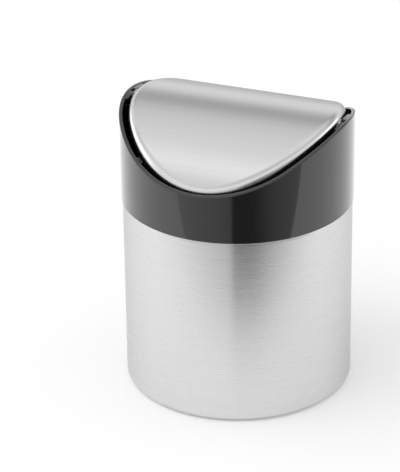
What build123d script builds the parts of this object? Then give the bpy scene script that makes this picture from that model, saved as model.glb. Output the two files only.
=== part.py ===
from build123d import *
import math
import os

# A countertop trash can: a brushed steel drum, a black collar that lifts off it, and an
# arched steel lid that swings on two pins in the collar. The pins lie along X, the lid
# swings towards the front (-Y) and the back, and the origin is the middle of the face
# that the can stands on. Lengths are millimetres, angles degrees.

# --- Driving dimensions -------------------------------------------------------------

BODY_R = 60.0            # outside of the steel drum
SHEET = 0.6              # drum, base and lid sheet
DRUM_TOP = 107.0         # top of the drum's hemmed edge
DRUM_CLEARANCE = 0.5     # steel edge above the table: the can stands on its base ring

COLLAR_R = 60.8          # outside of the collar, a little proud of the drum
COLLAR_WALL = 2.0
COLLAR_BOTTOM = 103.7    # lower edge of the collar's lip, over the drum
RIM_PEAK = 153.6         # the rim's two high points, over the pins
RIM_CROWN_R = 75.0       # the rim's line rounds over the peaks...
RIM_SLOPE = 33.7         # ...and then falls straight to the front and the back

LID_R = 55.8             # outside of the lid, seen from above
LID_PEAK = 155.9         # top of the lid's arch, and of the can
LID_CROWN_R = 74.0       # the arch...
LID_SLOPE = 50.0         # ...which is this steep just past the lid's front and back
LID_EDGE_R = 3.5         # the turned-down edge
SKIRT_TUCK = 3.5         # how far the lid's skirt reaches below the rim

PIVOT_Z = 150.0          # the swing axis, along X
PIN_R = 1.5              # the pins' shank, pressed into the lid's carrier
JOURNAL_R = 2.0          # the pins' running end
RUNNING_FIT = 0.05       # radial clearance of the journals in the collar
STOP_ANGLE = 80.0        # the lid's swing each way
STOP_GAP = 0.08          # left between peg and shoulder there

# --- Worked out from them -----------------------------------------------------------

REACH = 70.0             # half width of the roof-shaped cutting bodies, past the rim
FAR_BELOW = 90.0         # their lower end
PLUG_START = 91.0        # where a lid-shaped plug starts, inside those bodies
PLUG_HEIGHT = 75.0       # to well above the lid
ON_WALL = 0.01           # how near an edge's points are to the wall that it lies on


def roof_section(peak, crown_r, slope):
    """The outline under a roof: a crown of crown_r between two straight falls."""
    fall = math.radians(slope)
    bend_y = crown_r * math.sin(fall)
    bend_z = peak - crown_r * (1 - math.cos(fall))
    eave_z = bend_z - math.tan(fall) * (REACH - bend_y)
    with BuildSketch(Plane.YZ) as section:
        with BuildLine():
            ThreePointArc((-bend_y, bend_z), (0, peak), (bend_y, bend_z))
            Polyline(
                (bend_y, bend_z),
                (REACH, eave_z),
                (REACH, FAR_BELOW),
                (-REACH, FAR_BELOW),
                (-REACH, eave_z),
                (-bend_y, bend_z),
            )
        make_face()
    return section.sketch


def lid_section(depth):
    """The lid's arch, depth below its outer face."""
    return roof_section(LID_PEAK - depth, LID_CROWN_R - depth, LID_SLOPE)


def skirt_section(raised):
    """The line of the lid's lower edge, parallel to the collar's rim."""
    return roof_section(RIM_PEAK - SKIRT_TUCK + raised, RIM_CROWN_R, RIM_SLOPE)


def roof_plug(radius, top, edge_r, bottom):
    """A round plug with a roof on top and its brim rounded, hollowed to a roof below."""
    with BuildPart() as plug:
        with BuildSketch(Plane.XY.offset(PLUG_START)):
            Circle(radius)
        extrude(amount=PLUG_HEIGHT)
        extrude(top, amount=REACH, both=True, mode=Mode.INTERSECT)
        if edge_r > 0:
            above_base = plug.edges().filter_by(lambda e: e.center().Z > DRUM_TOP)
            fillet(above_base.filter_by(lambda e: lies_on_wall(e, radius)), edge_r)
        extrude(bottom, amount=REACH, both=True, mode=Mode.SUBTRACT)
    return plug.part


def lies_on_wall(edge, radius):
    """Does the edge curve round the wall of that radius? Upright seams don't count."""
    points = [edge @ 0.1, edge @ 0.5, edge @ 0.9]
    near = all(abs(math.hypot(p.X, p.Y) - radius) < ON_WALL for p in points)
    return near and edge.geom_type != GeomType.LINE


# --- Drum ---------------------------------------------------------------------------

FOOT_R = 2.5             # bend where the wall turns in under the drum
FLANGE_IN_R = 55.6       # inner edge of the turned-in flange
HEM_DEPTH = 5.0          # the top edge is folded inwards, so that it can't cut
wall_in_r = BODY_R - SHEET
hem_in_r = wall_in_r - SHEET
flange_top = DRUM_CLEARANCE + SHEET

with BuildPart() as drum_wall:
    with BuildSketch(Plane.XZ):
        with BuildLine():
            Line((FLANGE_IN_R, DRUM_CLEARANCE), (BODY_R - FOOT_R, DRUM_CLEARANCE))
            RadiusArc(
                (BODY_R - FOOT_R, DRUM_CLEARANCE),
                (BODY_R, DRUM_CLEARANCE + FOOT_R),
                -FOOT_R,
            )
            Line((BODY_R, DRUM_CLEARANCE + FOOT_R), (BODY_R, DRUM_TOP - SHEET))
            ThreePointArc(
                (BODY_R, DRUM_TOP - SHEET),
                (wall_in_r, DRUM_TOP),
                (hem_in_r, DRUM_TOP - SHEET),
            )
            Polyline(
                (hem_in_r, DRUM_TOP - SHEET),
                (hem_in_r, DRUM_TOP - HEM_DEPTH),
                (wall_in_r, DRUM_TOP - HEM_DEPTH),
                (wall_in_r, DRUM_CLEARANCE + FOOT_R),
            )
            RadiusArc(
                (wall_in_r, DRUM_CLEARANCE + FOOT_R),
                (BODY_R - FOOT_R, flange_top),
                FOOT_R - SHEET,
            )
            Polyline(
                (BODY_R - FOOT_R, flange_top),
                (FLANGE_IN_R, flange_top),
                (FLANGE_IN_R, DRUM_CLEARANCE),
            )
        make_face()
    revolve(axis=Axis.Z)
drum_wall.part.label = "drum_wall"

# The base pan is dropped in onto the flange. Its rim stands up inside the wall, and its
# floor is pressed up twice: for the ring underneath, and once more to stiffen it.
PAN_RIM_TOP = 7.0
PAN_GAP = 0.2            # between the pan's rim and the wall
PAN_BEND_R = 2.5
RECESS_R = 53.8          # the ring's recess under the pan
RECESS_Z = 3.0
CENTRE_R = 38.0
CENTRE_RISE = 1.2
STEP_RUN = 1.2           # how far each pressed step slopes
pan_out_r = wall_in_r - PAN_GAP
pan_in_r = pan_out_r - SHEET

with BuildPart() as base_pan:
    with BuildSketch(Plane.XZ):
        with BuildLine():
            Polyline(
                (0, RECESS_Z + CENTRE_RISE),
                (CENTRE_R, RECESS_Z + CENTRE_RISE),
                (CENTRE_R + STEP_RUN, RECESS_Z),
                (RECESS_R, RECESS_Z),
                (RECESS_R + STEP_RUN, flange_top),
                (pan_out_r - PAN_BEND_R, flange_top),
            )
            RadiusArc(
                (pan_out_r - PAN_BEND_R, flange_top),
                (pan_out_r, flange_top + PAN_BEND_R),
                -PAN_BEND_R,
            )
            Polyline(
                (pan_out_r, flange_top + PAN_BEND_R),
                (pan_out_r, PAN_RIM_TOP),
                (pan_in_r, PAN_RIM_TOP),
                (pan_in_r, flange_top + PAN_BEND_R),
            )
            RadiusArc(
                (pan_in_r, flange_top + PAN_BEND_R),
                (pan_out_r - PAN_BEND_R, flange_top + SHEET),
                PAN_BEND_R - SHEET,
            )
            Polyline(
                (pan_out_r - PAN_BEND_R, flange_top + SHEET),
                (RECESS_R + STEP_RUN + SHEET / 2, flange_top + SHEET),
                (RECESS_R + SHEET / 2, RECESS_Z + SHEET),
                (CENTRE_R + STEP_RUN + SHEET / 2, RECESS_Z + SHEET),
                (CENTRE_R + SHEET / 2, RECESS_Z + CENTRE_RISE + SHEET),
                (0, RECESS_Z + CENTRE_RISE + SHEET),
                (0, RECESS_Z + CENTRE_RISE),
            )
        make_face()
    revolve(axis=Axis.Z)
base_pan.part.label = "base_pan"

# The soft ring that the can stands on, glued into the recess under the pan.
RING_OUT_R = 53.2
RING_IN_R = 46.0
RING_EDGE = 0.6

with BuildPart() as base_ring:
    with BuildSketch():
        Circle(RING_OUT_R)
        Circle(RING_IN_R, mode=Mode.SUBTRACT)
    extrude(amount=RECESS_Z)
    chamfer(base_ring.faces().sort_by(Axis.Z)[0].edges(), RING_EDGE)
base_ring.part.label = "base_ring"

# --- Collar -------------------------------------------------------------------------

LIP_IN_R = 60.2          # the lip that hides the drum's edge
PLUG_OUT_R = 58.2        # the part that goes down inside the drum
PLUG_WALL = 1.6
PLUG_DEPTH = 13.0
PLUG_LEAD = 1.5          # taper that guides it in...
PLUG_LEAD_IN = 0.5       # ...and how far it goes in
SEAT_GAP = 0.05          # between the drum's hem and the collar's seat
LEDGE_RISE = 3.0         # the slope between the plug's inside and the wall's
GRIP_RIBS = 8            # upright ribs that hold the plug snug in the hem
GRIP_RIB_R = 0.6
GRIP_RIB_PROUD = 0.3
RIM_EDGE_R = 0.7         # both edges of the rim...
RIM_EAVE_Z = 115.0       # ...which lie above this height
collar_in_r = COLLAR_R - COLLAR_WALL
plug_in_r = PLUG_OUT_R - PLUG_WALL
seat_z = DRUM_TOP + SEAT_GAP
plug_bottom = DRUM_TOP - PLUG_DEPTH
ledge_z = seat_z + COLLAR_WALL

# Each pin runs in a pad on the collar's inner face. The pad's two shoulders stop the
# swing: a peg on the lid's carrier comes up under them.
PAD_FACE_X = 56.6        # the pads' inner faces
PAD_INTO_WALL = 0.4
PAD_BOSS_R = 5.2
PAD_SHOULDER = 10.5      # half width over the shoulders
PAD_BELOW_RIM = 0.5
BORE_END_X = 59.6        # the bores are blind, so the collar's outside stays plain
SNAP_WIDTH = 3.7         # slot that the journals are snapped down through
bore_r = JOURNAL_R + RUNNING_FIT
crown_drop = RIM_CROWN_R - math.sqrt(RIM_CROWN_R**2 - PAD_SHOULDER**2)
pad_top = RIM_PEAK - PAD_BELOW_RIM
pad_outer_x = collar_in_r + PAD_INTO_WALL

rim_section = roof_section(RIM_PEAK, RIM_CROWN_R, RIM_SLOPE)

with BuildPart() as collar:
    with BuildSketch(Plane.XZ):
        with BuildLine():
            Polyline(
                (plug_in_r, plug_bottom),
                (PLUG_OUT_R - PLUG_LEAD_IN, plug_bottom),
                (PLUG_OUT_R, plug_bottom + PLUG_LEAD),
                (PLUG_OUT_R, seat_z),
                (LIP_IN_R, seat_z),
                (LIP_IN_R, COLLAR_BOTTOM),
                (COLLAR_R, COLLAR_BOTTOM),
                (COLLAR_R, LID_PEAK),
                (collar_in_r, LID_PEAK),
                (collar_in_r, ledge_z + LEDGE_RISE),
                (plug_in_r, ledge_z),
                close=True,
            )
        make_face()
    revolve(axis=Axis.Z)
    extrude(rim_section, amount=REACH, both=True, mode=Mode.INTERSECT)
    high_edges = collar.edges().filter_by(lambda e: e.center().Z > RIM_EAVE_Z)
    fillet(high_edges.filter_by(GeomType.LINE, reverse=True), RIM_EDGE_R)

    with BuildSketch(Plane.YZ.offset(PAD_FACE_X)) as pad_outline:
        with BuildLine():
            ThreePointArc(
                (-PAD_SHOULDER, pad_top - crown_drop),
                (0, pad_top),
                (PAD_SHOULDER, pad_top - crown_drop),
            )
            Polyline(
                (PAD_SHOULDER, pad_top - crown_drop),
                (PAD_SHOULDER, PIVOT_Z),
                (PAD_BOSS_R, PIVOT_Z),
            )
            ThreePointArc(
                (PAD_BOSS_R, PIVOT_Z),
                (0, PIVOT_Z - PAD_BOSS_R),
                (-PAD_BOSS_R, PIVOT_Z),
            )
            Polyline(
                (-PAD_BOSS_R, PIVOT_Z),
                (-PAD_SHOULDER, PIVOT_Z),
                (-PAD_SHOULDER, pad_top - crown_drop),
            )
        make_face()
    extrude(amount=pad_outer_x - PAD_FACE_X)
    with BuildSketch(Plane.YZ.offset(PAD_FACE_X)) as snap_slot:
        with Locations((0, PIVOT_Z)):
            Rectangle(SNAP_WIDTH, LID_PEAK - PIVOT_Z, align=(Align.CENTER, Align.MIN))
    extrude(amount=collar_in_r - PAD_FACE_X, mode=Mode.SUBTRACT)
    with BuildSketch(Plane.YZ.offset(PAD_FACE_X)) as journal_bore:
        with Locations((0, PIVOT_Z)):
            Circle(bore_r)
    extrude(amount=BORE_END_X - PAD_FACE_X, mode=Mode.SUBTRACT)
    split(bisect_by=Plane.YZ)
    mirror(about=Plane.YZ)

    with BuildSketch(Plane.XY.offset(plug_bottom + PLUG_LEAD)):
        with PolarLocations(PLUG_OUT_R + GRIP_RIB_PROUD - GRIP_RIB_R, GRIP_RIBS):
            Circle(GRIP_RIB_R)
    extrude(amount=PLUG_DEPTH - PLUG_LEAD)
collar.part.label = "collar"

# --- Lid ----------------------------------------------------------------------------

LIP_WIDTH = 1.2          # the skirt's edge, turned in under the carrier
CARRIER_GAP = 0.1        # between the steel and the moulding inside it
CARRIER_SIDE_GAP = 0.2
CARRIER_WALL = 1.8
LIP_CLEARANCE = 0.4      # what hangs down through the lip's opening keeps this far in
PIN_NOTCH_R = 1.7        # notches in the skirt that drop over the pins
cover_in_r = LID_R - SHEET
opening_r = cover_in_r - LIP_WIDTH
low_r = opening_r - LIP_CLEARANCE
carrier_r = cover_in_r - CARRIER_SIDE_GAP
carrier_depth = SHEET + CARRIER_GAP

cover_outside = roof_plug(LID_R, lid_section(0), LID_EDGE_R, skirt_section(0))
cover_inside = roof_plug(
    cover_in_r, lid_section(SHEET), LID_EDGE_R - SHEET, skirt_section(SHEET)
)
lip_opening = roof_plug(opening_r, lid_section(2 * SHEET), 0, skirt_section(-SHEET))

with BuildPart() as lid_cover:
    add(cover_outside)
    add(cover_inside, mode=Mode.SUBTRACT)
    add(lip_opening, mode=Mode.SUBTRACT)
    with BuildSketch(Plane.YZ) as pin_notch:
        with Locations((0, PIVOT_Z)):
            Circle(PIN_NOTCH_R)
            Rectangle(2 * PIN_NOTCH_R, 2 * PIN_NOTCH_R, align=(Align.CENTER, Align.MAX))
    extrude(amount=REACH, both=True, mode=Mode.SUBTRACT)
lid_cover.part.label = "lid_cover"

# The moulding inside the steel: a roof and a wall, ribs under the roof, an end boss for
# each pin, two posts for the counterweight and the pegs that stop the swing.
ROOF_RIB_DEPTH = 4.0
RIB_THICK = 1.4
RIB_XS = (-36.0, -18.0, 18.0, 36.0)
BOSS_IN_X = 44.0
BOSS_OUT_X = 53.0
BOSS_HALF = 5.0
BOSS_DROP = 4.0          # from the pin's axis to the middle of the boss's round end
PEG_IN = 5.8             # the peg's reach from the pin's axis, inner and outer
PEG_OUT = 8.4
PEG_END_X = 57.6
PIN_BORE_X = 45.0        # the blind end of each pin's bore
POST_X = 28.0
POST_R = 4.0
POST_BOTTOM = 142.0
SCREW_R = 1.45
SCREW_BITE = 9.0
inner_r = carrier_r - CARRIER_WALL
roof_under = carrier_depth + CARRIER_WALL

# Turned to the stop, the peg's inner corner comes up level with the pin's axis, where
# the shoulder is, so the stop's angle gives the peg's width.
stop = math.radians(STOP_ANGLE)
peg_width = 2 * (PEG_IN * math.cos(stop) - STOP_GAP) / math.sin(stop)

carrier_outside = roof_plug(
    carrier_r,
    lid_section(carrier_depth),
    LID_EDGE_R - carrier_depth,
    skirt_section(carrier_depth),
)
carrier_hollow = roof_plug(inner_r, lid_section(roof_under), 0, skirt_section(-SHEET))
under_roof = lid_section(roof_under - CARRIER_WALL / 2)
fill_to_roof = roof_plug(low_r, under_roof, 0, lid_section(roof_under + ROOF_RIB_DEPTH))

with BuildPart() as roof_ribs:
    with BuildSketch(Plane.XY.offset(FAR_BELOW)):
        Rectangle(2 * LID_R, RIB_THICK)
        with Locations(*[(x, 0) for x in RIB_XS]):
            Rectangle(RIB_THICK, 2 * LID_R)
    extrude(amount=PLUG_HEIGHT)
    add(fill_to_roof, mode=Mode.INTERSECT)

with BuildPart() as end_boss:
    with BuildSketch(Plane.YZ.offset(BOSS_IN_X)):
        with Locations((0, PIVOT_Z - BOSS_DROP)):
            Circle(BOSS_HALF)
            Rectangle(2 * BOSS_HALF, LID_PEAK, align=(Align.CENTER, Align.MIN))
    extrude(amount=BOSS_OUT_X - BOSS_IN_X)
    extrude(under_roof, amount=REACH, both=True, mode=Mode.INTERSECT)
    with BuildSketch(Plane.YZ.offset(BOSS_IN_X)):
        with Locations((0, PIVOT_Z - (PEG_IN + PEG_OUT) / 2)):
            Rectangle(peg_width, PEG_OUT - PEG_IN)
    extrude(amount=PEG_END_X - BOSS_IN_X)
    mirror(about=Plane.YZ)

with BuildPart() as posts:
    with BuildSketch(Plane.XY.offset(POST_BOTTOM)):
        with Locations((-POST_X, 0), (POST_X, 0)):
            Circle(POST_R)
    extrude(amount=LID_PEAK - POST_BOTTOM)
    extrude(under_roof, amount=REACH, both=True, mode=Mode.INTERSECT)

with BuildPart() as lid_carrier:
    add(carrier_outside)
    add(carrier_hollow, mode=Mode.SUBTRACT)
    add(roof_ribs.part)
    add(end_boss.part)
    add(posts.part)
    with BuildSketch(Plane.YZ.offset(PIN_BORE_X), Plane.YZ.offset(-LID_R)):
        with Locations((0, PIVOT_Z)):
            Circle(PIN_R)
    extrude(amount=LID_R - PIN_BORE_X, mode=Mode.SUBTRACT)
    with BuildSketch(Plane.XY.offset(POST_BOTTOM)):
        with Locations((-POST_X, 0), (POST_X, 0)):
            Circle(SCREW_R)
    extrude(amount=SCREW_BITE, mode=Mode.SUBTRACT)
lid_carrier.part.label = "lid_carrier"

# The pins: a shank pressed into the carrier, a shoulder that keeps the lid centred, and
# a journal that runs in the collar.
PIN_IN_X = 45.5
SHOULDER_R = 3.4
SHOULDER_GAP = 0.1
JOURNAL_END_X = 59.4
PIN_CHAMFER = 0.5
shoulder_in_x = LID_R + SHOULDER_GAP
shoulder_out_x = PAD_FACE_X - SHOULDER_GAP

with BuildPart() as pivot_pin_right:
    with BuildSketch(Plane.XZ):
        with BuildLine():
            Polyline(
                (PIN_IN_X, PIVOT_Z),
                (PIN_IN_X, PIVOT_Z + PIN_R - PIN_CHAMFER),
                (PIN_IN_X + PIN_CHAMFER, PIVOT_Z + PIN_R),
                (shoulder_in_x, PIVOT_Z + PIN_R),
                (shoulder_in_x, PIVOT_Z + SHOULDER_R),
                (shoulder_out_x, PIVOT_Z + SHOULDER_R),
                (shoulder_out_x, PIVOT_Z + JOURNAL_R),
                (JOURNAL_END_X - PIN_CHAMFER, PIVOT_Z + JOURNAL_R),
                (JOURNAL_END_X, PIVOT_Z + JOURNAL_R - PIN_CHAMFER),
                (JOURNAL_END_X, PIVOT_Z),
                close=True,
            )
        make_face()
    revolve(axis=Axis((0, 0, PIVOT_Z), (1, 0, 0)))
pivot_pin_right.part.label = "pivot_pin_right"

with BuildPart() as pivot_pin_left:
    mirror(pivot_pin_right.part, about=Plane.YZ)
pivot_pin_left.part.label = "pivot_pin_left"

# The bar under the arch keeps the lid's centre of mass below the pins, so that it
# swings back level by itself.
BAR_LENGTH = 84.0
BAR_WIDTH = 14.0
BAR_THICK = 5.0
BAR_CORNER_R = 3.0
BAR_EDGE = 0.5
BAR_HOLE_R = 1.6
HEAD_R = 2.8
HEAD_THICK = 1.8
HEAD_EDGE = 0.6
SCREW_TIP_GAP = 0.5      # left free at the bottom of each screw hole
bar_bottom = POST_BOTTOM - BAR_THICK
bar_top = Plane.XY.offset(POST_BOTTOM)

with BuildPart() as counterweight:
    with BuildSketch(Plane.XY.offset(bar_bottom)):
        RectangleRounded(BAR_LENGTH, BAR_WIDTH, BAR_CORNER_R)
    extrude(amount=BAR_THICK)
    chamfer(counterweight.faces().filter_by(Axis.Z).edges(), BAR_EDGE)
    with Locations(bar_top):
        with Locations((-POST_X, 0), (POST_X, 0)):
            Hole(BAR_HOLE_R)
counterweight.part.label = "counterweight"

with BuildPart() as counterweight_screws:
    with BuildSketch(Plane.XY.offset(bar_bottom)) as heads:
        with Locations((-POST_X, 0), (POST_X, 0)):
            Circle(HEAD_R)
    extrude(amount=-HEAD_THICK)
    chamfer(counterweight_screws.faces().group_by(Axis.Z)[0].edges(), HEAD_EDGE)
    with BuildSketch(Plane.XY.offset(bar_bottom)) as shanks:
        with Locations((-POST_X, 0), (POST_X, 0)):
            Circle(SCREW_R)
    extrude(amount=BAR_THICK + SCREW_BITE - SCREW_TIP_GAP)
counterweight_screws.part.label = "counterweight_screws"

# --- Files --------------------------------------------------------------------------

os.makedirs("parts", exist_ok=True)
for node in (
    drum_wall,
    base_pan,
    base_ring,
    collar,
    lid_cover,
    lid_carrier,
    pivot_pin_left,
    pivot_pin_right,
    counterweight,
    counterweight_screws,
):
    export_step(node.part, f"parts/{node.part.label}.step")
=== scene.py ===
"""A countertop trash can with a swing lid: the finish of each piece, and its studio."""

import math

import bpy
from mathutils import Matrix, Vector


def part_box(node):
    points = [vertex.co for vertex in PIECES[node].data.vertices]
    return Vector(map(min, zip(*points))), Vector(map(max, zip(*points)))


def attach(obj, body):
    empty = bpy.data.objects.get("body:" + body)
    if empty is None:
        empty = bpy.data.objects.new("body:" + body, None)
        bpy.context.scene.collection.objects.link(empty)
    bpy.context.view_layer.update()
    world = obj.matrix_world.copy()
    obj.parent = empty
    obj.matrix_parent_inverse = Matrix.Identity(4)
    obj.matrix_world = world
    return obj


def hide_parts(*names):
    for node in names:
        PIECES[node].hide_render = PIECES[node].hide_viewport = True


bl_info = {
    "name": "Countertop trash can",
    "version": (1, 0, 0),
    "blender": (4, 5, 0),
    "location": "3D View > Sidebar > Trash can",
    "description": "Gives the pieces of a trash can their finish and sets up its studio",
    "category": "Object",
}

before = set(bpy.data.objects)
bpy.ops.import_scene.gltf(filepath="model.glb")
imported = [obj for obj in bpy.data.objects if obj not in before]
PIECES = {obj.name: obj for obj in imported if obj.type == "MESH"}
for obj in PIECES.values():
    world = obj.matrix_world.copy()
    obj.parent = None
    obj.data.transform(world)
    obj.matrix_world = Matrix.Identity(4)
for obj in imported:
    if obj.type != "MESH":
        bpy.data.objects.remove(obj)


# --- Shader nodes ---------------------------------------------------------------------


class Wire:
    """An output of a shader node. Plain arithmetic on it adds Math nodes."""

    def __init__(self, shader, socket):
        self.shader = shader
        self.socket = socket

    def maths(self, operation, *values):
        inputs = dict(enumerate(values))
        return self.shader.node("ShaderNodeMath", {"operation": operation}, inputs)

    def __add__(self, other):
        return self.maths("ADD", self, other)

    __radd__ = __add__

    def __sub__(self, other):
        return self.maths("SUBTRACT", self, other)

    def __rsub__(self, other):
        return self.maths("SUBTRACT", other, self)

    def __mul__(self, other):
        return self.maths("MULTIPLY", self, other)

    __rmul__ = __mul__

    def __truediv__(self, other):
        return self.maths("DIVIDE", self, other)

    def __gt__(self, other):
        return self.maths("GREATER_THAN", self, other)

    def __abs__(self):
        return self.maths("ABSOLUTE", self)


class Shader:
    """The nodes of one material, or of the world."""

    def __init__(self, owner):
        owner.use_nodes = True
        self.tree = owner.node_tree
        self.tree.nodes.clear()

    def node(self, kind, settings=None, inputs=None, output=0):
        """Adds a node: first its settings, then its inputs by name or place."""
        made = self.tree.nodes.new(kind)
        for name, value in (settings or {}).items():
            if name == "stops":
                set_stops(made.color_ramp, value)
            else:
                setattr(made, name, value)
        for name, value in (inputs or {}).items():
            if isinstance(value, Wire):
                self.tree.links.new(value.socket, made.inputs[name])
            else:
                made.inputs[name].default_value = value
        return Wire(self, made.outputs[output]) if len(made.outputs) else None

    def coords(self, output="Object"):
        return self.node("ShaderNodeTexCoord", output=output)

    def axes(self, vector):
        """The X, Y and Z of a vector, as three numbers."""
        first = self.node("ShaderNodeSeparateXYZ", inputs={0: vector})
        return [Wire(self, socket) for socket in first.socket.node.outputs]

    def noise(self, per_metre, detail=2.0):
        """Cloudy noise from 0 to 1, with so many clouds to the metre on each axis."""
        place = self.node(
            "ShaderNodeVectorMath", {"operation": "MULTIPLY"}, {0: self.coords(), 1: per_metre}
        )
        return self.node(
            "ShaderNodeTexNoise", inputs={"Vector": place, "Scale": 1.0, "Detail": detail}
        )

    def blend(self, factor, low, high):
        """A colour between low, at factor 0, and high, at factor 1."""
        return self.node(
            "ShaderNodeMix",
            {"data_type": "RGBA"},
            {0: factor, 6: low, 7: high},
            output=2,
        )

    def shade(self, factor, colour, share):
        """The colour at factor 1, and that share of its light at factor 0."""
        return self.blend(factor, darker(colour, share), rgba(colour))

    def ease(self, value, start, end, at_start=0.0, at_end=1.0):
        """Goes smoothly from at_start to at_end as value goes from start to end."""
        return self.node(
            "ShaderNodeMapRange",
            {"interpolation_type": "SMOOTHSTEP"},
            {0: value, 1: start, 2: end, 3: at_start, 4: at_end},
        )

    def ramp(self, value, stops):
        """A grey level that follows value through the stops, each a place and its grey."""
        return self.node("ShaderNodeValToRGB", {"stops": stops}, {0: value})

    def bump(self, height, depth):
        """A normal for a surface whose relief is height times depth, in metres."""
        return self.node("ShaderNodeBump", inputs={"Height": height, "Distance": depth})

    def surface(self, inputs):
        """The Principled surface with those inputs, wired to the output."""
        self.output(self.node("ShaderNodeBsdfPrincipled", inputs=inputs))

    def output(self, surface, kind="ShaderNodeOutputMaterial"):
        self.node(kind, inputs={"Surface": surface})


def set_stops(ramp, stops):
    """Gives a colour ramp its stops, each a place from 0 to 1 and a grey level."""
    while len(ramp.elements) < len(stops):
        ramp.elements.new(0.5)
    for element, (place, grey) in zip(ramp.elements, stops):
        element.position = place
        element.color = (grey, grey, grey, 1.0)


def rgba(colour):
    """A colour as a shader takes it."""
    return (*colour, 1.0)


def darker(colour, share):
    """A colour as a shader takes it, with that share of its light left."""
    return (*(channel * share for channel in colour), 1.0)


def varied(middle, *changes):
    """A level that each noise in changes moves by up to half of its spread either way."""
    for noise, spread in changes:
        middle = middle + (noise - 0.5) * spread
    return middle


def new_material(name):
    """A material, and the shader that takes its nodes."""
    material = bpy.data.materials.new(name)
    return material, Shader(material)


def finish_with(material, *names):
    """Gives those CAD pieces the material."""
    for name in names:
        slots = PIECES[name].data.materials
        slots.clear()
        slots.append(material)


# --- Shapes ---------------------------------------------------------------------------

# Corners of a stand-in that bend by more than this stay sharp.
SHARP_ANGLE = math.radians(35)


def stand_in(name, corners, faces, material, node, body):
    """A mesh that stands for a CAD piece, smooth but for its sharp corners."""
    mesh = bpy.data.meshes.new(name)
    mesh.from_pydata(corners, [], faces)
    mesh.shade_smooth()
    mesh.set_sharp_from_angle(angle=SHARP_ANGLE)
    mesh.materials.append(material)
    made = bpy.data.objects.new(name, mesh)
    bpy.context.scene.collection.objects.link(made)
    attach(made, body)
    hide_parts(node)
    return made


def grid_faces(columns, rows, first=0, closed=False):
    """Faces between neighbouring columns of corners, the last column next to the first.

    Corner number first starts the first column. In a closed grid the last row of corners
    is next to the first row too.
    """
    return [
        (
            first + column * rows + row,
            first + (column + 1) % columns * rows + row,
            first + (column + 1) % columns * rows + (row + 1) % rows,
            first + column * rows + (row + 1) % rows,
        )
        for column in range(columns)
        for row in range(rows if closed else rows - 1)
    ]


def arc(centre, radius, start, end, steps=8):
    """Points on an arc of radius and height, from one angle to the other, in degrees."""
    angles = (math.radians(start + (end - start) * n / steps) for n in range(steps + 1))
    return [(centre[0] + radius * math.cos(a), centre[1] + radius * math.sin(a)) for a in angles]


def saddle(y, peak, crown, slope):
    """Height of a line that crowns over the pins and falls straight to front and back."""
    bend = crown * math.sin(slope)
    if abs(y) < bend:
        return peak - crown + math.sqrt(crown**2 - y**2)
    return peak - crown * (1 - math.cos(slope)) - math.tan(slope) * (abs(y) - bend)


# --- Sizes and colours that a user may change -----------------------------------------


def number(name, description, default, least, most):
    return bpy.props.FloatProperty(
        name=name, description=description, default=default, min=least, max=most
    )


def roughness(name, default):
    return bpy.props.FloatProperty(
        name=name,
        description="0 is a mirror, 1 is chalk",
        default=default,
        subtype="FACTOR",
        min=0.0,
        max=1.0,
    )


def metres(name, description, default, **limits):
    """A size in metres, at least 0 unless the limits say otherwise."""
    return bpy.props.FloatProperty(
        name=name,
        description=description,
        default=default,
        subtype="DISTANCE",
        unit="LENGTH",
        **{"min": 0.0, **limits},
    )


def degrees(name, description, default):
    return bpy.props.FloatProperty(
        name=name,
        description=description,
        default=math.radians(default),
        subtype="ANGLE",
        unit="ROTATION",
    )


def watts(name, description, default):
    return bpy.props.FloatProperty(
        name=name, description=description, default=default, subtype="POWER", min=0.0
    )


def tint(name, description, default):
    return bpy.props.FloatVectorProperty(
        name=name, description=description, default=default, subtype="COLOR", min=0.0, max=1.0
    )


class SteelSettings(bpy.types.PropertyGroup):
    drum_colour: tint("Drum colour", "Brushed stainless steel of the drum", (0.75, 0.75, 0.75))
    drum_roughness: roughness("Drum roughness", 0.27)
    lid_colour: tint("Lid colour", "Brushed stainless steel of the lid", (0.74, 0.74, 0.74))
    lid_roughness: roughness("Lid roughness", 0.22)
    base_colour: tint("Base colour", "Pressed steel of the base pan", (0.6, 0.6, 0.6))
    base_roughness: roughness("Base roughness", 0.38)
    grain_length: metres("Brushing length", "Length of a line", 0.03, min=0.002, max=0.2)
    grain_width: metres(
        "Brushing width",
        "Distance from one brushed line to the next",
        0.00022,
        min=0.00005,
        max=0.002,
    )
    grain_depth: metres(
        "Brushing depth", "Depth of the brushed lines", 0.0000009, max=0.0001, precision=6
    )
    seam_width: metres(
        "Seam width", "Width of the welded seam down the back of the drum", 0.0007, max=0.003
    )


class DrumSettings(bpy.types.PropertyGroup):
    sheet: metres("Sheet", "Thickness of the steel", 0.0006)
    flange: metres("Flange", "How far the wall turns in under the drum", 0.0044)
    foot_bend: metres("Foot bend", "Radius of the drum's lower edge", 0.0025)
    hem: metres("Hem", "How far the drum's top edge is folded down inside", 0.005)
    lip_height: metres("Lip height", "From the floor to the collar's lower edge", 0.1037)
    neck_depth: metres("Neck depth", "How far the drum draws in under the collar's lip", 0.0004)
    neck_height: metres("Neck height", "Height over which it draws in", 0.0028)


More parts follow.
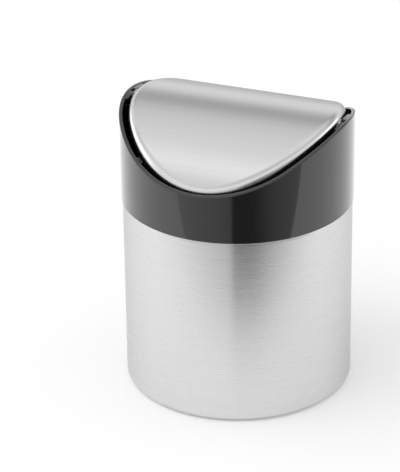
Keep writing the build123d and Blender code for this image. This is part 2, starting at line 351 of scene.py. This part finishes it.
class LidSettings(bpy.types.PropertyGroup):
    sheet: metres("Sheet", "Thickness of the steel", 0.0006)
    arch: metres("Arch", "Radius of the lid's arch", 0.074)
    spread: metres("Spread", "How much further the lid reaches in front than at its pins", 0.0008)
    roll_ends: metres("Roll at the pins", "Radius of the turned-down edge by the pins", 0.004)
    roll_front: metres(
        "Roll at the front", "Radius of the turned-down edge at front and back", 0.007
    )
    skirt_crown: metres("Skirt crown", "Radius of the skirt's lower line over the pins", 0.075)
    skirt_tuck: metres("Skirt tuck", "How far the skirt reaches below the collar's rim", 0.0035)
    least_skirt: metres("Least skirt", "Upright height of the skirt at its lowest", 0.0004)
    lip: metres("Lip", "How far the skirt's edge is turned in", 0.0018)
    notch: metres("Pin notch", "Radius of the notches that drop over the pins", 0.0017)
    skirt_slope: degrees(
        "Skirt slope", "How steeply the skirt's lower line falls to front and back", 33.7
    )


class PlasticSettings(bpy.types.PropertyGroup):
    collar_colour: tint("Collar colour", "Gloss black plastic", (0.007, 0.007, 0.007))
    collar_roughness: roughness("Collar roughness", 0.1)
    carrier_colour: tint("Carrier colour", "Matt black under the lid", (0.02, 0.02, 0.02))
    carrier_roughness: roughness("Carrier roughness", 0.48)
    ring_colour: tint("Ring colour", "Soft ring that the can stands on", (0.03, 0.03, 0.03))
    ring_roughness: roughness("Ring roughness", 0.75)


class FittingSettings(bpy.types.PropertyGroup):
    pin_colour: tint("Pin colour", "Bright turned steel of the pins", (0.75, 0.75, 0.75))
    pin_roughness: roughness("Pin roughness", 0.21)
    zinc_colour: tint(
        "Zinc colour", "Plating of the counterweight and its screws", (0.55, 0.56, 0.58)
    )
    zinc_roughness: roughness("Zinc roughness", 0.38)


class StudioSettings(bpy.types.PropertyGroup):
    azimuth: degrees(
        "Camera azimuth", "How far the camera stands round to the right of the front", 21.41
    )
    distance: metres(
        "Camera distance", "From the can's upright axis to the camera, over the floor", 1.2264
    )
    height: metres("Camera height", "From the floor to the camera", 0.6858)
    pitch: degrees("Camera pitch", "How far the camera looks down", 26.36)
    roll: degrees("Camera roll", "Turn about the line of sight", -0.44)
    lens: number("Lens", "Focal length on a 36 mm sensor", 198.41, 10.0, 600.0)
    shift: number("Lens shift", "Sideways, as a share of the height", -0.0805, -0.5, 0.5)
    floor_colour: tint("Floor colour", "Pale floor", (0.93, 0.93, 0.93))
    floor_lift: number("Floor lift", "Light added where the camera sees it", 0.14, 0.0, 1.0)
    table_edge: metres(
        "Table edge", "From the can's upright axis to the dark card in front", 0.18, min=0.1
    )
    key_power: watts("Key light", "The large soft box above, in front at the left", 5.0)
    left_power: watts("Left light", "The soft box at the left", 0.95)
    right_power: watts("Right light", "The soft box at the right", 0.9)
    world_strength: number("World", "Strength of the light from all round", 1.0, 0.0, 4.0)


# --- Finishes -------------------------------------------------------------------------

# How much the brushing changes the roughness, and the share of light that it leaves.
FINE_SPREAD = 0.05
BROAD_SPREAD = 0.02
BRUSHED_SHARE = 0.98
# How often the broad lines of brushing come, as a share of how often the fine ones do.
BROAD_SHARE = 0.22


def brushed(shader, grain):
    """Lines of brushing: fine noise and broad noise, both drawn out along the grain."""
    fine = shader.noise(grain, detail=3.0)
    broad = shader.noise(tuple(often * BROAD_SHARE for often in grain))
    return fine, broad


def brushed_colour(shader, broad, steel_colour):
    """The steel's colour, a little darker along some of the broad lines."""
    return shader.shade(shader.ease(broad, 0.3, 0.7), steel_colour, BRUSHED_SHARE)


def grain_scale(steel, along):
    """How often the brushing repeats on each axis, in lines to the metre."""
    return tuple(
        1.0 / (steel.grain_length if name in along else steel.grain_width) for name in "XYZ"
    )


class Undoable:
    """What all the operators have in common."""

    bl_options = {"REGISTER", "UNDO"}


class TRASHCAN_OT_roll_drum(Undoable, bpy.types.Operator):
    """Brushed steel drum, drawn in under the collar, with the welded seam down its back"""

    bl_idname = "trashcan.roll_drum"
    bl_label = "Roll the drum"

    def execute(self, context):
        outline = self.outline(context.scene.trashcan_drum)
        columns = 256
        corners = [
            (radius * math.cos(angle), radius * math.sin(angle), height)
            for angle in (2 * math.pi * n / columns for n in range(columns))
            for radius, height in outline
        ]
        faces = grid_faces(columns, len(outline), closed=True)
        finish = self.finish(context.scene.trashcan_steel)
        stand_in("drum_shell", corners, faces, finish, "drum_wall", "drum")
        return {"FINISHED"}

    def outline(self, drum):
        """The sheet's section: flange, foot bend, wall, neck, hem, and back down inside."""
        low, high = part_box("drum_wall")
        outside, bottom, top = high[0], low[2], high[2]
        sheet = drum.sheet
        foot_centre = (outside - drum.foot_bend, bottom + drum.foot_bend)
        neck = outside - drum.neck_depth
        neck_start = drum.lip_height - drum.neck_height
        hem = outside - 2 * sheet
        fold = (neck - hem) / 2
        # The wall starts to draw in slowly and ends steeply, right under the lip.
        steps, steepness = 8, 3
        narrowing = [
            (
                outside - drum.neck_depth * (n / steps) ** steepness,
                neck_start + drum.neck_height * n / steps,
            )
            for n in range(steps + 1)
        ]
        return [
            (outside - drum.flange, bottom),
            *arc(foot_centre, drum.foot_bend, -90, 0),
            *narrowing,
            *arc((neck - fold, top - fold), fold, 0, 180),
            (hem, top - drum.hem),
            (outside - sheet, top - drum.hem),
            *arc(foot_centre, drum.foot_bend - sheet, 0, -90),
            (outside - drum.flange, bottom + sheet),
        ]

    def finish(self, steel):
        material, shader = new_material("drum_steel")
        fine, broad = brushed(shader, grain_scale(steel, "XY"))
        x, y, _ = shader.axes(shader.coords())
        on_seam = shader.ease(abs(x), 0.3 * steel.seam_width, steel.seam_width, 1.0, 0.0)
        seam = on_seam * (y > 0.0)
        seam_tint, seam_share, seam_relief, seam_roughness = 0.5, 0.6, 3.0, 0.1
        rough = varied(steel.drum_roughness, (fine, FINE_SPREAD), (broad, BROAD_SPREAD))
        shader.surface(
            {
                "Base Color": shader.blend(
                    seam * seam_tint,
                    brushed_colour(shader, broad, steel.drum_colour),
                    darker(steel.drum_colour, seam_share),
                ),
                "Metallic": 1.0,
                "Specular Tint": (0.8, 0.8, 0.8, 1.0),
                "Roughness": rough + seam * seam_roughness,
                "Anisotropic": 0.9,
                "Anisotropic Rotation": 0.25,
                "Normal": shader.bump(fine + seam * seam_relief, steel.grain_depth),
            }
        )
        return material


class TRASHCAN_OT_press_base(Undoable, bpy.types.Operator):
    """Pressed steel of the base pan, with a satin mill finish"""

    bl_idname = "trashcan.press_base"
    bl_label = "Press the base"

    def execute(self, context):
        steel = context.scene.trashcan_steel
        patches_per_metre, patch_share = 60.0, 0.9
        material, shader = new_material("base_steel")
        fine, broad = brushed(shader, grain_scale(steel, "X"))
        patches = shader.noise((patches_per_metre,) * 3)
        shader.surface(
            {
                "Base Color": shader.shade(patches, steel.base_colour, patch_share),
                "Metallic": 1.0,
                "Roughness": varied(steel.base_roughness, (fine, 0.1), (patches, 0.12)),
                "Normal": shader.bump(fine + broad, steel.grain_depth),
            }
        )
        finish_with(material, "base_pan")
        return {"FINISHED"}


class TRASHCAN_OT_mould_ring(Undoable, bpy.types.Operator):
    """Soft black ring under the base"""

    bl_idname = "trashcan.mould_ring"
    bl_label = "Mould the base ring"

    def execute(self, context):
        plastic = context.scene.trashcan_plastic
        pores_per_metre, pore_depth, pore_share = 2500.0, 0.00006, 0.7
        material, shader = new_material("soft_ring")
        pores = shader.noise((pores_per_metre,) * 3, detail=4.0)
        shader.surface(
            {
                "Base Color": shader.shade(pores, plastic.ring_colour, pore_share),
                "Roughness": varied(plastic.ring_roughness, (pores, 0.2)),
                "Normal": shader.bump(pores, pore_depth),
            }
        )
        finish_with(material, "base_ring")
        return {"FINISHED"}


class TRASHCAN_OT_mould_collar(Undoable, bpy.types.Operator):
    """Gloss black collar, with the faint line where its mould parts"""

    bl_idname = "trashcan.mould_collar"
    bl_label = "Mould the collar"

    def execute(self, context):
        plastic = context.scene.trashcan_plastic
        ripples_per_metre, ripple_share = 90.0, 0.85
        dust_per_metre, dust_roughness = 700.0, 0.06
        parting_width, relief_depth = 0.00025, 0.00001
        material, shader = new_material("collar_plastic")
        along = shader.axes(shader.coords())[1]
        parting = shader.ease(abs(along), 0.0, parting_width, 1.0, 0.0)
        ripple = shader.noise((ripples_per_metre,) * 3)
        dust = shader.ease(shader.noise((dust_per_metre,) * 3, detail=3.0), 0.55, 0.8)
        shader.surface(
            {
                "Base Color": shader.shade(ripple, plastic.collar_colour, ripple_share),
                "Roughness": plastic.collar_roughness + dust * dust_roughness,
                "Coat Weight": 1.0,
                "Coat Roughness": 0.04,
                "Normal": shader.bump(ripple * 0.5 + parting, relief_depth),
            }
        )
        finish_with(material, "collar")
        return {"FINISHED"}


class TRASHCAN_OT_draw_lid(Undoable, bpy.types.Operator):
    """Steel cover of the lid, brushed along the swing axis, its edge rolled down"""

    bl_idname = "trashcan.draw_lid"
    bl_label = "Draw the lid"

    def execute(self, context):
        lid = context.scene.trashcan_lid
        columns = 288
        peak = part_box("lid_cover")[1][2]
        spokes = [self.spoke(lid, peak, 2 * math.pi * n / columns) for n in range(columns)]
        corners = [(0.0, 0.0, peak), *(corner for spoke in spokes for corner in spoke)]
        rows = len(spokes[0])
        middle = [(0, 1 + n * rows, 1 + (n + 1) % columns * rows) for n in range(columns)]
        # The rows run outwards here, so the faces are turned over to look up and out.
        around = [face[::-1] for face in grid_faces(columns, rows, first=1)]
        finish = self.finish(context.scene.trashcan_steel)
        cover = stand_in(
            "lid_shell", corners, middle + around, finish, "lid_cover", "lid"
        )
        thick = cover.modifiers.new("sheet", "SOLIDIFY")
        thick.thickness = lid.sheet
        thick.offset = -1.0
        thick.use_even_offset = True
        return {"FINISHED"}

    def spoke(self, lid, peak, angle):
        """Corners from the middle outwards: over the arch, round the roll, down and in."""
        across, along = math.cos(angle), math.sin(angle)
        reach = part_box("lid_cover")[1][0] + lid.spread * along**2
        roll = lid.roll_ends + (lid.roll_front - lid.roll_ends) * along**2
        inner = reach - roll
        arch_z = peak - lid.arch
        lean = inner * along / (lid.arch - roll)
        up = Vector((0.0, lean, math.sqrt(1 - lean**2)))
        out = Vector((across, along, 0.0))
        core = inner * out + Vector((0, 0, arch_z + (lid.arch - roll) * up.z))
        edge = core + roll * up
        rings, bends = 36, 12
        corners = []
        for ring in range(1, rings + 1):
            x, y = edge.x * ring / rings, edge.y * ring / rings
            corners.append((x, y, arch_z + math.sqrt(lid.arch**2 - y**2)))
        corners += [core + roll * up.slerp(out, bend / bends) for bend in range(1, bends + 1)]
        end = self.skirt_end(lid, reach * along, core.z)
        corners.append(reach * out + Vector((0, 0, end)))
        corners.append((reach - lid.lip) * out + Vector((0, 0, end)))
        return corners

    def skirt_end(self, lid, y, roll_end):
        """Height of the skirt's lower edge, with a notch over each pin."""
        pin_low, pin_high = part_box("pivot_pin_left")
        if abs(y) < lid.notch:
            return (pin_low[2] + pin_high[2]) / 2 + math.sqrt(lid.notch**2 - y**2)
        rim_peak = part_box("collar")[1][2]
        line = saddle(y, rim_peak - lid.skirt_tuck, lid.skirt_crown, lid.skirt_slope)
        return min(line, roll_end - lid.least_skirt)

    def finish(self, steel):
        material, shader = new_material("lid_steel")
        fine, broad = brushed(shader, grain_scale(steel, "X"))
        rough = varied(steel.lid_roughness, (fine, FINE_SPREAD), (broad, BROAD_SPREAD))
        shader.surface(
            {
                "Base Color": brushed_colour(shader, broad, steel.lid_colour),
                "Metallic": 1.0,
                "Specular Tint": (0.9, 0.9, 0.9, 1.0),
                "Roughness": rough,
                "Normal": shader.bump(fine, steel.grain_depth),
            }
        )
        return material


class TRASHCAN_OT_mould_carrier(Undoable, bpy.types.Operator):
    """Matt black moulding under the lid's cover"""

    bl_idname = "trashcan.mould_carrier"
    bl_label = "Mould the lid's carrier"

    def execute(self, context):
        plastic = context.scene.trashcan_plastic
        grains_per_metre, grain_depth = 1800.0, 0.00003
        flows_per_metre, flow_share = 40.0, 0.8
        material, shader = new_material("carrier_plastic")
        grain = shader.noise((grains_per_metre,) * 3, detail=3.0)
        flow = shader.noise((flows_per_metre,) * 3)
        shader.surface(
            {
                "Base Color": shader.shade(flow, plastic.carrier_colour, flow_share),
                "Roughness": varied(plastic.carrier_roughness, (grain, 0.15)),
                "Normal": shader.bump(grain, grain_depth),
            }
        )
        finish_with(material, "lid_carrier")
        return {"FINISHED"}


class TRASHCAN_OT_turn_pins(Undoable, bpy.types.Operator):
    """Bright pivot pins, with the fine rings that turning leaves"""

    bl_idname = "trashcan.turn_pins"
    bl_label = "Turn the pins"

    def execute(self, context):
        fittings = context.scene.trashcan_fittings
        rings_per_metre, streaks_per_metre = 9000.0, 60.0
        ring_depth, ring_share = 0.000004, 0.93
        material, shader = new_material("pin_steel")
        rings = shader.noise((rings_per_metre, streaks_per_metre, streaks_per_metre), detail=1.0)
        shader.surface(
            {
                "Base Color": shader.shade(rings, fittings.pin_colour, ring_share),
                "Metallic": 1.0,
                "Roughness": varied(fittings.pin_roughness, (rings, 0.1)),
                "Normal": shader.bump(rings, ring_depth),
            }
        )
        finish_with(material, "pivot_pin_left", "pivot_pin_right")
        return {"FINISHED"}


def zinc(name, fittings):
    """Zinc plating: a pale cool grey with soft blotches."""
    blotches_per_metre, blotch_share = 260.0, 0.82
    speckles_per_metre, speckle_depth = 2600.0, 0.000006
    material, shader = new_material(name)
    blotches = shader.noise((blotches_per_metre,) * 3, detail=4.0)
    speckle = shader.noise((speckles_per_metre,) * 3)
    shader.surface(
        {
            "Base Color": shader.shade(blotches, fittings.zinc_colour, blotch_share),
            "Metallic": 1.0,
            "Roughness": varied(fittings.zinc_roughness, (blotches, 0.16)),
            "Normal": shader.bump(speckle, speckle_depth),
        }
    )
    return material


class TRASHCAN_OT_plate_counterweight(Undoable, bpy.types.Operator):
    """Zinc-plated bar under the lid"""

    bl_idname = "trashcan.plate_counterweight"
    bl_label = "Plate the counterweight"

    def execute(self, context):
        finish_with(zinc("weight_steel", context.scene.trashcan_fittings), "counterweight")
        return {"FINISHED"}


class TRASHCAN_OT_plate_screws(Undoable, bpy.types.Operator):
    """Zinc-plated screws of the counterweight"""

    bl_idname = "trashcan.plate_screws"
    bl_label = "Plate the screws"

    def execute(self, context):
        finish_with(zinc("screw_steel", context.scene.trashcan_fittings), "counterweight_screws")
        return {"FINISHED"}


# --- Studio ---------------------------------------------------------------------------

# How bright the studio is, by degrees above the floor: the wall behind the can, and the
# rest of the room.
WALL_LEVELS = (
    (0, 0.62),
    (5, 0.84),
    (12, 0.94),
    (19, 0.9),
    (24, 0.8),
    (28, 0.6),
    (32, 0.44),
    (40, 0.42),
    (43, 0.56),
    (48, 0.69),
    (56, 0.76),
    (70, 0.84),
    (90, 0.88),
)
ROOM_LEVELS = ((0, 0.9), (18, 1.0), (30, 0.95), (41, 0.66), (55, 0.64), (63, 0.9), (90, 0.88))
# How bright the far left of the wall is, at every height.
LEFT_LEVEL = 0.85
# How bright it is past the table's edge, by degrees round the can from the camera: darker
# in front, darkest behind the camera, and grey at the back.
BEYOND_LEVELS = (
    (-180, 0.6),
    (-92, 0.6),
    (-88, 0.95),
    (-70, 0.85),
    (-45, 0.7),
    (-30, 0.62),
    (-15, 0.53),
    (-6, 0.45),
    (-4, 0.09),
    (13, 0.09),
    (20, 0.17),
    (27, 0.27),
    (34, 0.34),
    (42, 0.4),
    (60, 0.5),
    (75, 0.85),
    (88, 0.9),
    (92, 0.6),
    (180, 0.6),
)
# Width of the camera's sensor, in millimetres.
SENSOR_WIDTH = 36.0
# Where the lamps point: the middle of the can.
CAN_MIDDLE = Vector((0, 0, 0.1))
# Which way the glow above the room lies, and how much brighter it makes its middle.
GLOW_WAY = (-0.41, -0.41, 0.82)
GLOW_GAIN = 0.25


def seen(shader):
    """1 on rays from the camera, and on those that metal or glass sends on."""
    path = shader.node("ShaderNodeLightPath").socket.node.outputs
    total = (
        Wire(shader, path["Is Camera Ray"])
        + Wire(shader, path["Is Glossy Ray"])
        + Wire(shader, path["Is Transmission Ray"])
    )
    return total.maths("MINIMUM", total, 1.0)


def soft_box(name, place, width, height, energy):
    """An area lamp that points at the can and that the camera doesn't see."""
    lamp = bpy.data.objects.new(name, bpy.data.lights.new(name, "AREA"))
    lamp.data.shape = "RECTANGLE"
    lamp.data.size = width
    lamp.data.size_y = height
    lamp.data.energy = energy
    lamp.location = place
    lamp.rotation_euler = (CAN_MIDDLE - lamp.location).to_track_quat("-Z", "Y").to_euler()
    lamp.visible_camera = False
    bpy.context.scene.collection.objects.link(lamp)
    return lamp


def camera_matrix(studio):
    """Where the camera stands and how it looks, level first and then pitched and rolled."""
    place = Matrix.Rotation(studio.azimuth, 4, "Z") @ Vector((0, -studio.distance, studio.height))
    look = (
        Matrix.Rotation(studio.azimuth, 4, "Z")
        @ Matrix.Rotation(math.radians(90) - studio.pitch, 4, "X")
        @ Matrix.Rotation(studio.roll, 4, "Z")
    )
    return Matrix.Translation(place) @ look


def by_height(shader, up, levels):
    """How bright the studio is in a direction that rises by up."""
    return shader.ramp(up, [(math.sin(math.radians(high)), grey) for high, grey in levels])


def from_camera(shader, vector, studio):
    """How far a place or direction lies to the camera's right, and on the camera's side."""
    x, y, _ = shader.axes(vector)
    turn_x, turn_y = math.cos(studio.azimuth), math.sin(studio.azimuth)
    return x * turn_x + y * turn_y, x * turn_y - y * turn_x


def beyond(shader, sideways, forwards):
    """How bright it is past the table's edge on that side."""
    turned = sideways.maths("ARCTAN2", sideways, forwards)
    stops = [(0.5 + round_can / 360.0, grey) for round_can, grey in BEYOND_LEVELS]
    return shader.ramp(turned / (2 * math.pi) + 0.5, stops)


def flat_piece(name, *faces):
    """Flat faces, each given by its four corners, which belong to the studio."""
    mesh = bpy.data.meshes.new(name)
    corners = [corner for face in faces for corner in face]
    mesh.from_pydata(corners, [], [tuple(range(n, n + 4)) for n in range(0, len(corners), 4)])
    made = bpy.data.objects.new(name, mesh)
    bpy.context.scene.collection.objects.link(made)
    return made


class TRASHCAN_OT_build_studio(Undoable, bpy.types.Operator):
    """White floor, soft light from all round, and the camera"""

    bl_idname = "trashcan.build_studio"
    bl_label = "Build the studio"

    def execute(self, context):
        studio = context.scene.trashcan_studio
        self.lay_floor(studio)
        self.lay_reflection_card(studio)
        self.light(studio)
        self.set_world(context, studio)
        self.set_camera(context, studio)
        return {"FINISHED"}

    def lay_floor(self, studio):
        """White paper just below the can, which the camera sees a little lighter."""
        reach, below = 6.0, -0.0002
        corners = [(-reach, -reach), (reach, -reach), (reach, reach), (-reach, reach)]
        floor = flat_piece("floor", [(x, y, below) for x, y in corners])
        material, shader = new_material("floor_paper")
        paper = shader.node("ShaderNodeBsdfDiffuse", inputs={"Color": rgba(studio.floor_colour)})
        strength = seen(shader) * studio.floor_lift
        lift = shader.node("ShaderNodeEmission", inputs={"Strength": strength})
        shader.output(shader.node("ShaderNodeAddShader", inputs={0: paper, 1: lift}))
        floor.data.materials.append(material)

    def lay_reflection_card(self, studio):
        """A glowing sheet past the table's edges that only the gloss shows: a painted reflection
        of the darker room there.
        """
        front, back, far, half, above = studio.table_edge, 0.45, 4.0, 3.0, 0.001
        turn = Matrix.Rotation(studio.azimuth, 3, "Z")
        card = flat_piece(
            "card",
            *(
                [turn @ Vector((x, y, above)) for x, y in corners]
                for corners in (
                    [(-half, -far), (half, -far), (half, -front), (-half, -front)],
                    [(-half, back), (half, back), (half, far), (-half, far)],
                )
            ),
        )
        # Painted reflection: the card glows, is no lamp, and only reflections see it.
        card.visible_camera = card.visible_diffuse = False
        card.visible_shadow = card.visible_transmission = False
        material, shader = new_material("card")
        level = beyond(shader, *from_camera(shader, shader.coords(), studio))
        shader.output(shader.node("ShaderNodeEmission", inputs={"Color": level}))
        card.data.materials.append(material)

    def light(self, studio):
        key = soft_box("key_light", (-0.67, -0.6, 1.44), 1.3, 1.3, studio.key_power)
        key.visible_glossy = False
        soft_box("left_light", (-1.0, -0.09, 0.36), 1.0, 0.5, studio.left_power)
        soft_box("right_light", (1.0, 0.68, 0.4), 1.0, 0.45, studio.right_power)

    def set_world(self, context, studio):
        """A pale room with a dark stretch high up behind the can and a glow above it."""
        world = bpy.data.worlds.new("studio_world")
        context.scene.world = world
        shader = Shader(world)
        way = shader.coords("Generated")
        sideways, forwards = from_camera(shader, way, studio)
        up = shader.axes(way)[2]
        wall = shader.blend(
            shader.ease(sideways, -0.5, -0.25),
            rgba((LEFT_LEVEL,) * 3),
            by_height(shader, up, WALL_LEVELS),
        )
        room = shader.blend(
            shader.ease(up, 0.06, 0.3),
            beyond(shader, sideways, forwards),
            by_height(shader, up, ROOM_LEVELS),
        )
        everywhere = shader.blend(shader.ease(forwards, -0.4, -0.1), wall, room)
        near_glow = shader.node(
            "ShaderNodeVectorMath", {"operation": "DOT_PRODUCT"}, {0: way, 1: GLOW_WAY}, output=1
        )
        strength = (1.0 + shader.ease(near_glow, 0.9, 1.0) * GLOW_GAIN) * studio.world_strength
        background = shader.node(
            "ShaderNodeBackground", inputs={"Color": everywhere, "Strength": strength}
        )
        shader.output(background, "ShaderNodeOutputWorld")

    def set_camera(self, context, studio):
        camera = bpy.data.objects.new("camera", bpy.data.cameras.new("camera"))
        camera.data.sensor_width = SENSOR_WIDTH
        camera.data.lens = studio.lens
        camera.data.shift_x = studio.shift
        camera.matrix_world = camera_matrix(studio)
        context.scene.collection.objects.link(camera)
        context.scene.camera = camera
        context.scene.view_settings.view_transform = "Standard"


# --- Panel and registration -----------------------------------------------------------


class TRASHCAN_PT_panel(bpy.types.Panel):
    bl_idname = "TRASHCAN_PT_panel"
    bl_label = "Trash can"
    bl_space_type = "VIEW_3D"
    bl_region_type = "UI"
    bl_category = "Trash can"

    def draw(self, context):
        for group in SETTINGS:
            settings = getattr(context.scene, group)
            for name in settings.__annotations__:
                self.layout.prop(settings, name)
        for operator in OPERATORS:
            self.layout.operator(operator.bl_idname)


SETTINGS = {
    "trashcan_steel": SteelSettings,
    "trashcan_drum": DrumSettings,
    "trashcan_lid": LidSettings,
    "trashcan_plastic": PlasticSettings,
    "trashcan_fittings": FittingSettings,
    "trashcan_studio": StudioSettings,
}
OPERATORS = (
    TRASHCAN_OT_roll_drum,
    TRASHCAN_OT_press_base,
    TRASHCAN_OT_mould_ring,
    TRASHCAN_OT_mould_collar,
    TRASHCAN_OT_draw_lid,
    TRASHCAN_OT_mould_carrier,
    TRASHCAN_OT_turn_pins,
    TRASHCAN_OT_plate_counterweight,
    TRASHCAN_OT_plate_screws,
    TRASHCAN_OT_build_studio,
)


def register():
    for name, settings in SETTINGS.items():
        bpy.utils.register_class(settings)
        setattr(bpy.types.Scene, name, bpy.props.PointerProperty(type=settings))
    for made in (*OPERATORS, TRASHCAN_PT_panel):
        bpy.utils.register_class(made)


def unregister():
    for made in reversed((*OPERATORS, TRASHCAN_PT_panel)):
        bpy.utils.unregister_class(made)
    for name, settings in SETTINGS.items():
        delattr(bpy.types.Scene, name)
        bpy.utils.unregister_class(settings)


def main():
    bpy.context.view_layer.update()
    register()
    bpy.ops.trashcan.roll_drum()
    bpy.ops.trashcan.press_base()
    bpy.ops.trashcan.mould_ring()
    bpy.ops.trashcan.mould_collar()
    bpy.ops.trashcan.draw_lid()
    bpy.ops.trashcan.mould_carrier()
    bpy.ops.trashcan.turn_pins()
    bpy.ops.trashcan.plate_counterweight()
    bpy.ops.trashcan.plate_screws()
    bpy.ops.trashcan.build_studio()


if __name__ == "__main__":
    main()
